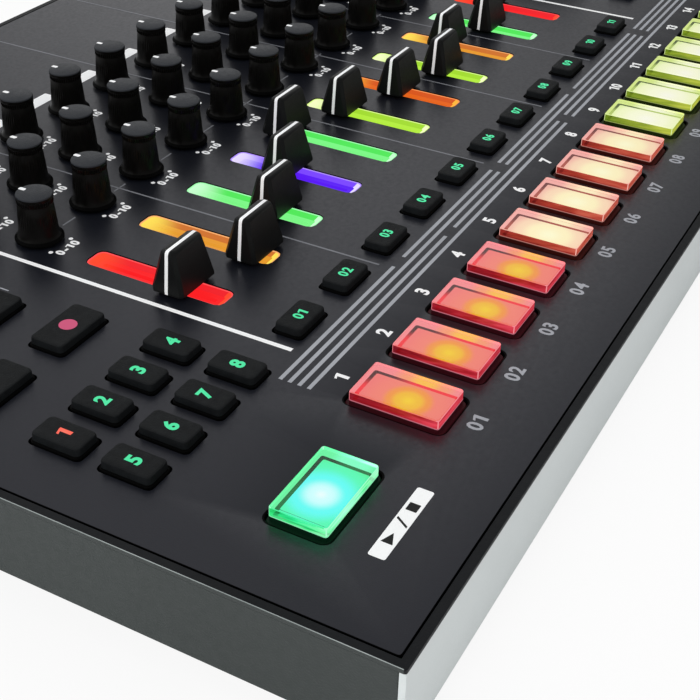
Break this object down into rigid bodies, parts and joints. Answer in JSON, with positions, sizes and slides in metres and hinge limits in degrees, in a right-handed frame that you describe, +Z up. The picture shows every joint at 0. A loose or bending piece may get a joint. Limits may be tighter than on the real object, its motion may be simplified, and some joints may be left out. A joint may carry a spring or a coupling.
{
  "type": "drum machine",
  "caption": "Desktop step-sequencing drum machine: sloping case with lit step pads, lit faders, rows of knobs, rubber keys, a dial and a display.",
  "frame": {"origin": "under the middle of the case, on the surface that the feet stand on", "axes": "+X to the right along the front edge, +Y to the back, +Z up"},
  "size_m": [0.409, 0.263, 0.0578],
  "materials": {
    "case_plastic": "fine textured ABS",
    "tray_plastic": "fine textured ABS",
    "front_strip": "satin silver paint",
    "panel": "brushed, dark anodised",
    "rubber": "moulded",
    "steel": "zinc plated",
    "socket_plastic": "moulded nylon",
    "board": "glass-epoxy board with green lacquer",
    "guide_plastic": "moulded",
    "light_bar": "frosted light guide",
    "window": "smoked acrylic",
    "knob_plastic": "moulded",
    "key_rubber": "silicone, soft touch",
    "pad_red": "clear acrylic, lit red",
    "pad_rose": "clear acrylic, lit rose",
    "pad_lime": "clear acrylic, lit lime",
    "pad_green": "clear acrylic, lit green"
  },
  "bodies": {
    "case": {"bottom_case": "tray_plastic", "top_frame": "case_plastic", "front_trim": "front_strip", "panel_plate": "panel", "rubber_feet": "rubber", "case_screws": "steel", "rear_sockets": "socket_plastic", "main_board": "board", "control_board": "board", "pad_guide": "guide_plastic", "slide_pots": "steel", "rotary_pots": "steel", "led_bars": "light_bar", "display_module": "window", "upper_knobs": "knob_plastic"},
    "select_keys": {"select_keys": "key_rubber"},
    "variation_keys": {"variation_keys": "key_rubber"},
    "mode_keys": {"mode_keys": "key_rubber"},
    "effect_dial": {"effect_dial": "knob_plastic"},
    "tempo_knob": {"tempo_knob": "knob_plastic"},
    "power_switch": {"power_switch": "socket_plastic"},
    "start_pad": {"start_pad": "pad_green"},
    "step_pad_01": {"step_pad_01": "pad_red"},
    "step_pad_02": {"step_pad_02": "pad_red"},
    "step_pad_03": {"step_pad_03": "pad_red"},
    "step_pad_04": {"step_pad_04": "pad_red"},
    "step_pad_05": {"step_pad_05": "pad_rose"},
    "step_pad_06": {"step_pad_06": "pad_rose"},
    "step_pad_07": {"step_pad_07": "pad_rose"},
    "step_pad_08": {"step_pad_08": "pad_rose"},
    "step_pad_09": {"step_pad_09": "pad_lime"},
    "step_pad_10": {"step_pad_10": "pad_lime"},
    "step_pad_11": {"step_pad_11": "pad_lime"},
    "step_pad_12": {"step_pad_12": "pad_lime"},
    "step_pad_13": {"step_pad_13": "pad_lime"},
    "step_pad_14": {"step_pad_14": "pad_lime"},
    "step_pad_15": {"step_pad_15": "pad_lime"},
    "step_pad_16": {"step_pad_16": "pad_lime"},
    "fader_01": {"fader_01": "knob_plastic"},
    "fader_02": {"fader_02": "knob_plastic"},
    "fader_03": {"fader_03": "knob_plastic"},
    "fader_04": {"fader_04": "knob_plastic"},
    "fader_05": {"fader_05": "knob_plastic"},
    "fader_06": {"fader_06": "knob_plastic"},
    "fader_07": {"fader_07": "knob_plastic"},
    "fader_08": {"fader_08": "knob_plastic"},
    "fader_09": {"fader_09": "knob_plastic"},
    "fader_10": {"fader_10": "knob_plastic"},
    "fader_11": {"fader_11": "knob_plastic"},
    "ctrl_knob_01": {"ctrl_knob_01": "knob_plastic"},
    "ctrl_knob_02": {"ctrl_knob_02": "knob_plastic"},
    "ctrl_knob_03": {"ctrl_knob_03": "knob_plastic"},
    "ctrl_knob_04": {"ctrl_knob_04": "knob_plastic"},
    "ctrl_knob_05": {"ctrl_knob_05": "knob_plastic"},
    "ctrl_knob_06": {"ctrl_knob_06": "knob_plastic"},
    "ctrl_knob_07": {"ctrl_knob_07": "knob_plastic"},
    "ctrl_knob_08": {"ctrl_knob_08": "knob_plastic"},
    "ctrl_knob_09": {"ctrl_knob_09": "knob_plastic"},
    "ctrl_knob_10": {"ctrl_knob_10": "knob_plastic"},
    "ctrl_knob_11": {"ctrl_knob_11": "knob_plastic"}
  },
  "joints": [
    {"name": "select_keys_press", "type": "slide", "parent": "case", "child": "select_keys", "axis": [0, -0.0785, 0.9969], "range_m": [-0.0012, 0], "stiffness_N_per_m": 600, "springref_m": 0.001},
    {"name": "variation_keys_press", "type": "slide", "parent": "case", "child": "variation_keys", "axis": [0, -0.0785, 0.9969], "range_m": [-0.0012, 0], "stiffness_N_per_m": 600, "springref_m": 0.001},
    {"name": "mode_keys_press", "type": "slide", "parent": "case", "child": "mode_keys", "axis": [0, -0.0785, 0.9969], "range_m": [-0.0012, 0], "stiffness_N_per_m": 600, "springref_m": 0.001},
    {"name": "start_pad_press", "type": "slide", "parent": "case", "child": "start_pad", "axis": [0, -0.0785, 0.9969], "range_m": [-0.0015, 0], "stiffness_N_per_m": 400, "springref_m": 0.001},
    {"name": "step_pad_01_press", "type": "slide", "parent": "case", "child": "step_pad_01", "axis": [0, -0.0785, 0.9969], "range_m": [-0.0015, 0], "stiffness_N_per_m": 400, "springref_m": 0.001},
    {"name": "step_pad_02_press", "type": "slide", "parent": "case", "child": "step_pad_02", "axis": [0, -0.0785, 0.9969], "range_m": [-0.0015, 0], "stiffness_N_per_m": 400, "springref_m": 0.001},
    {"name": "step_pad_03_press", "type": "slide", "parent": "case", "child": "step_pad_03", "axis": [0, -0.0785, 0.9969], "range_m": [-0.0015, 0], "stiffness_N_per_m": 400, "springref_m": 0.001},
    {"name": "step_pad_04_press", "type": "slide", "parent": "case", "child": "step_pad_04", "axis": [0, -0.0785, 0.9969], "range_m": [-0.0015, 0], "stiffness_N_per_m": 400, "springref_m": 0.001},
    {"name": "step_pad_05_press", "type": "slide", "parent": "case", "child": "step_pad_05", "axis": [0, -0.0785, 0.9969], "range_m": [-0.0015, 0], "stiffness_N_per_m": 400, "springref_m": 0.001},
    {"name": "step_pad_06_press", "type": "slide", "parent": "case", "child": "step_pad_06", "axis": [0, -0.0785, 0.9969], "range_m": [-0.0015, 0], "stiffness_N_per_m": 400, "springref_m": 0.001},
    {"name": "step_pad_07_press", "type": "slide", "parent": "case", "child": "step_pad_07", "axis": [0, -0.0785, 0.9969], "range_m": [-0.0015, 0], "stiffness_N_per_m": 400, "springref_m": 0.001},
    {"name": "step_pad_08_press", "type": "slide", "parent": "case", "child": "step_pad_08", "axis": [0, -0.0785, 0.9969], "range_m": [-0.0015, 0], "stiffness_N_per_m": 400, "springref_m": 0.001},
    {"name": "step_pad_09_press", "type": "slide", "parent": "case", "child": "step_pad_09", "axis": [0, -0.0785, 0.9969], "range_m": [-0.0015, 0], "stiffness_N_per_m": 400, "springref_m": 0.001},
    {"name": "step_pad_10_press", "type": "slide", "parent": "case", "child": "step_pad_10", "axis": [0, -0.0785, 0.9969], "range_m": [-0.0015, 0], "stiffness_N_per_m": 400, "springref_m": 0.001},
    {"name": "step_pad_11_press", "type": "slide", "parent": "case", "child": "step_pad_11", "axis": [0, -0.0785, 0.9969], "range_m": [-0.0015, 0], "stiffness_N_per_m": 400, "springref_m": 0.001},
    {"name": "step_pad_12_press", "type": "slide", "parent": "case", "child": "step_pad_12", "axis": [0, -0.0785, 0.9969], "range_m": [-0.0015, 0], "stiffness_N_per_m": 400, "springref_m": 0.001},
    {"name": "step_pad_13_press", "type": "slide", "parent": "case", "child": "step_pad_13", "axis": [0, -0.0785, 0.9969], "range_m": [-0.0015, 0], "stiffness_N_per_m": 400, "springref_m": 0.001},
    {"name": "step_pad_14_press", "type": "slide", "parent": "case", "child": "step_pad_14", "axis": [0, -0.0785, 0.9969], "range_m": [-0.0015, 0], "stiffness_N_per_m": 400, "springref_m": 0.001},
    {"name": "step_pad_15_press", "type": "slide", "parent": "case", "child": "step_pad_15", "axis": [0, -0.0785, 0.9969], "range_m": [-0.0015, 0], "stiffness_N_per_m": 400, "springref_m": 0.001},
    {"name": "step_pad_16_press", "type": "slide", "parent": "case", "child": "step_pad_16", "axis": [0, -0.0785, 0.9969], "range_m": [-0.0015, 0], "stiffness_N_per_m": 400, "springref_m": 0.001},
    {"name": "fader_01_slide", "type": "slide", "parent": "case", "child": "fader_01", "axis": [0, 0.9969, 0.0785], "range_m": [-0.00832, 0.02368]},
    {"name": "fader_02_slide", "type": "slide", "parent": "case", "child": "fader_02", "axis": [0, 0.9969, 0.0785], "range_m": [-0.0016, 0.0304]},
    {"name": "fader_03_slide", "type": "slide", "parent": "case", "child": "fader_03", "axis": [0, 0.9969, 0.0785], "range_m": [-0.00896, 0.02304]},
    {"name": "fader_04_slide", "type": "slide", "parent": "case", "child": "fader_04", "axis": [0, 0.9969, 0.0785], "range_m": [-0.01856, 0.01344]},
    {"name": "fader_05_slide", "type": "slide", "parent": "case", "child": "fader_05", "axis": [0, 0.9969, 0.0785], "range_m": [-0.032, 0]},
    {"name": "fader_06_slide", "type": "slide", "parent": "case", "child": "fader_06", "axis": [0, 0.9969, 0.0785], "range_m": [-0.02432, 0.00768]},
    {"name": "fader_07_slide", "type": "slide", "parent": "case", "child": "fader_07", "axis": [0, 0.9969, 0.0785], "range_m": [-0.01632, 0.01568]},
    {"name": "fader_08_slide", "type": "slide", "parent": "case", "child": "fader_08", "axis": [0, 0.9969, 0.0785], "range_m": [-0.0112, 0.0208]},
    {"name": "fader_09_slide", "type": "slide", "parent": "case", "child": "fader_09", "axis": [0, 0.9969, 0.0785], "range_m": [-0.01984, 0.01216]},
    {"name": "fader_10_slide", "type": "slide", "parent": "case", "child": "fader_10", "axis": [0, 0.9969, 0.0785], "range_m": [-0.0144, 0.0176]},
    {"name": "fader_11_slide", "type": "slide", "parent": "case", "child": "fader_11", "axis": [0, 0.9969, 0.0785], "range_m": [-0.0224, 0.0096]},
    {"name": "ctrl_knob_01_turn", "type": "hinge", "parent": "case", "child": "ctrl_knob_01", "pos_m": [-0.1205, 0.01758, 0.03766], "axis": [0, -0.0785, 0.9969], "range_deg": [-150, 150]},
    {"name": "ctrl_knob_02_turn", "type": "hinge", "parent": "case", "child": "ctrl_knob_02", "pos_m": [-0.098, 0.01758, 0.03766], "axis": [0, -0.0785, 0.9969], "range_deg": [-150, 150]},
    {"name": "ctrl_knob_03_turn", "type": "hinge", "parent": "case", "child": "ctrl_knob_03", "pos_m": [-0.0755, 0.01758, 0.03766], "axis": [0, -0.0785, 0.9969], "range_deg": [-150, 150]},
    {"name": "ctrl_knob_04_turn", "type": "hinge", "parent": "case", "child": "ctrl_knob_04", "pos_m": [-0.053, 0.01758, 0.03766], "axis": [0, -0.0785, 0.9969], "range_deg": [-150, 150]},
    {"name": "ctrl_knob_05_turn", "type": "hinge", "parent": "case", "child": "ctrl_knob_05", "pos_m": [-0.0305, 0.01758, 0.03766], "axis": [0, -0.0785, 0.9969], "range_deg": [-150, 150]},
    {"name": "ctrl_knob_06_turn", "type": "hinge", "parent": "case", "child": "ctrl_knob_06", "pos_m": [-0.008, 0.01758, 0.03766], "axis": [0, -0.0785, 0.9969], "range_deg": [-150, 150]},
    {"name": "ctrl_knob_07_turn", "type": "hinge", "parent": "case", "child": "ctrl_knob_07", "pos_m": [0.0145, 0.01758, 0.03766], "axis": [0, -0.0785, 0.9969], "range_deg": [-150, 150]},
    {"name": "ctrl_knob_08_turn", "type": "hinge", "parent": "case", "child": "ctrl_knob_08", "pos_m": [0.037, 0.01758, 0.03766], "axis": [0, -0.0785, 0.9969], "range_deg": [-150, 150]},
    {"name": "ctrl_knob_09_turn", "type": "hinge", "parent": "case", "child": "ctrl_knob_09", "pos_m": [0.0595, 0.01758, 0.03766], "axis": [0, -0.0785, 0.9969], "range_deg": [-150, 150]},
    {"name": "ctrl_knob_10_turn", "type": "hinge", "parent": "case", "child": "ctrl_knob_10", "pos_m": [0.082, 0.01758, 0.03766], "axis": [0, -0.0785, 0.9969], "range_deg": [-150, 150]},
    {"name": "ctrl_knob_11_turn", "type": "hinge", "parent": "case", "child": "ctrl_knob_11", "pos_m": [0.1045, 0.01758, 0.03766], "axis": [0, -0.0785, 0.9969], "range_deg": [-150, 150]},
    {"name": "effect_dial_turn", "type": "hinge", "parent": "case", "child": "effect_dial", "pos_m": [0.1595, -0.01372, 0.0352], "axis": [0, -0.0785, 0.9969], "range_deg": [-150, 150]},
    {"name": "tempo_knob_turn", "type": "hinge", "parent": "case", "child": "tempo_knob", "pos_m": [0.1745, 0.03612, 0.03912], "axis": [0, -0.0785, 0.9969], "continuous": true},
    {"name": "power_switch_rock", "type": "hinge", "parent": "case", "child": "power_switch", "pos_m": [-0.1545, 0.12804, 0.03482], "axis": [0, -0.0785, 0.9969], "range_deg": [0, 14]}
  ]
}
